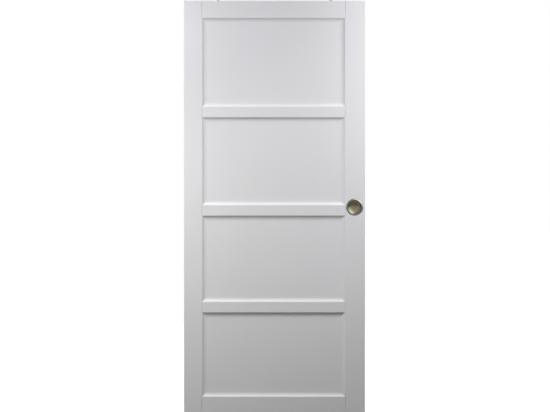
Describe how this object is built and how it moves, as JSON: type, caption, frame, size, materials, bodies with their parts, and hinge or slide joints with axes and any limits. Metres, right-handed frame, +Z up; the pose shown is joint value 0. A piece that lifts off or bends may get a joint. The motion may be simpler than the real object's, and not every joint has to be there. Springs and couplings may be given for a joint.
{
  "type": "sliding door",
  "caption": "White panelled sliding door leaf with flush round brass pulls, hung on wheeled trolleys from a head track and steadied by a floor guide.",
  "frame": {"origin": "on the floor under the middle of the track, at half the leaf's thickness", "axes": "+X along the track towards the closed side, +Y from the front face to the back face, +Z up"},
  "size_m": [1.75, 0.0448, 2.173],
  "materials": {
    "leaf_lacquer": "satin white lacquer on timber and board",
    "pull_brass": "dulled polished brass",
    "track_aluminium": "mill finish extrusion",
    "cast_zinc": "bare zinc casting",
    "zinc_plate": "bright zinc plated steel",
    "dark_steel": "oiled steel",
    "wheel_nylon": "turned white nylon",
    "guide_nylon": "moulded white nylon",
    "buffer_rubber": "black moulded rubber"
  },
  "bodies": {
    "track": {"track": "track_aluminium", "floor_guide": "guide_nylon", "open_stop_body": "cast_zinc", "open_stop_buffer": "buffer_rubber", "open_stop_screw": "dark_steel", "closed_stop_body": "cast_zinc", "closed_stop_buffer": "buffer_rubber", "closed_stop_screw": "dark_steel"},
    "leaf": {"trailing_stile": "leaf_lacquer", "lead_stile": "leaf_lacquer", "bottom_rail": "leaf_lacquer", "lower_cross_rail": "leaf_lacquer", "middle_cross_rail": "leaf_lacquer", "upper_cross_rail": "leaf_lacquer", "top_rail": "leaf_lacquer", "bottom_panel": "leaf_lacquer", "lower_panel": "leaf_lacquer", "upper_panel": "leaf_lacquer", "top_panel": "leaf_lacquer", "front_pull": "pull_brass", "rear_pull": "pull_brass", "hanger_plate_screws": "zinc_plate", "trailing_hanger_plate": "zinc_plate", "trailing_hanger_bolt": "dark_steel", "trailing_lock_nut": "zinc_plate", "trailing_trolley_body": "cast_zinc", "trailing_aft_axle": "dark_steel", "trailing_fore_axle": "dark_steel", "lead_hanger_plate": "zinc_plate", "lead_hanger_bolt": "dark_steel", "lead_lock_nut": "zinc_plate", "lead_trolley_body": "cast_zinc", "lead_aft_axle": "dark_steel", "lead_fore_axle": "dark_steel"},
    "wheel_trailing_aft_front": {"trailing_aft_front_wheel": "wheel_nylon", "trailing_aft_front_bearing": "dark_steel"},
    "wheel_trailing_aft_rear": {"trailing_aft_rear_wheel": "wheel_nylon", "trailing_aft_rear_bearing": "dark_steel"},
    "wheel_trailing_fore_front": {"trailing_fore_front_wheel": "wheel_nylon", "trailing_fore_front_bearing": "dark_steel"},
    "wheel_trailing_fore_rear": {"trailing_fore_rear_wheel": "wheel_nylon", "trailing_fore_rear_bearing": "dark_steel"},
    "wheel_lead_aft_front": {"lead_aft_front_wheel": "wheel_nylon", "lead_aft_front_bearing": "dark_steel"},
    "wheel_lead_aft_rear": {"lead_aft_rear_wheel": "wheel_nylon", "lead_aft_rear_bearing": "dark_steel"},
    "wheel_lead_fore_front": {"lead_fore_front_wheel": "wheel_nylon", "lead_fore_front_bearing": "dark_steel"},
    "wheel_lead_fore_rear": {"lead_fore_rear_wheel": "wheel_nylon", "lead_fore_rear_bearing": "dark_steel"}
  },
  "joints": [
    {"name": "leaf_slide", "type": "slide", "parent": "track", "child": "leaf", "axis": [-1, 0, 0], "range_m": [0, 0.82]},
    {"name": "roll_trailing_aft_front", "type": "hinge", "parent": "leaf", "child": "wheel_trailing_aft_front", "pos_m": [0.098, -0.0121, 2.1523], "axis": [0, -1, 0], "continuous": true},
    {"name": "roll_trailing_aft_rear", "type": "hinge", "parent": "leaf", "child": "wheel_trailing_aft_rear", "pos_m": [0.098, 0.0121, 2.1523], "axis": [0, -1, 0], "continuous": true},
    {"name": "roll_trailing_fore_front", "type": "hinge", "parent": "leaf", "child": "wheel_trailing_fore_front", "pos_m": [0.142, -0.0121, 2.1523], "axis": [0, -1, 0], "continuous": true},
    {"name": "roll_trailing_fore_rear", "type": "hinge", "parent": "leaf", "child": "wheel_trailing_fore_rear", "pos_m": [0.142, 0.0121, 2.1523], "axis": [0, -1, 0], "continuous": true},
    {"name": "roll_lead_aft_front", "type": "hinge", "parent": "leaf", "child": "wheel_lead_aft_front", "pos_m": [0.678, -0.0121, 2.1523], "axis": [0, -1, 0], "continuous": true},
    {"name": "roll_lead_aft_rear", "type": "hinge", "parent": "leaf", "child": "wheel_lead_aft_rear", "pos_m": [0.678, 0.0121, 2.1523], "axis": [0, -1, 0], "continuous": true},
    {"name": "roll_lead_fore_front", "type": "hinge", "parent": "leaf", "child": "wheel_lead_fore_front", "pos_m": [0.722, -0.0121, 2.1523], "axis": [0, -1, 0], "continuous": true},
    {"name": "roll_lead_fore_rear", "type": "hinge", "parent": "leaf", "child": "wheel_lead_fore_rear", "pos_m": [0.722, 0.0121, 2.1523], "axis": [0, -1, 0], "continuous": true}
  ],
  "couplings": [
    {"joint": "roll_trailing_aft_front", "follows": "leaf_slide", "rad_per_m": 83.333},
    {"joint": "roll_trailing_aft_rear", "follows": "leaf_slide", "rad_per_m": 83.333},
    {"joint": "roll_trailing_fore_front", "follows": "leaf_slide", "rad_per_m": 83.333},
    {"joint": "roll_trailing_fore_rear", "follows": "leaf_slide", "rad_per_m": 83.333},
    {"joint": "roll_lead_aft_front", "follows": "leaf_slide", "rad_per_m": 83.333},
    {"joint": "roll_lead_aft_rear", "follows": "leaf_slide", "rad_per_m": 83.333},
    {"joint": "roll_lead_fore_front", "follows": "leaf_slide", "rad_per_m": 83.333},
    {"joint": "roll_lead_fore_rear", "follows": "leaf_slide", "rad_per_m": 83.333}
  ]
}
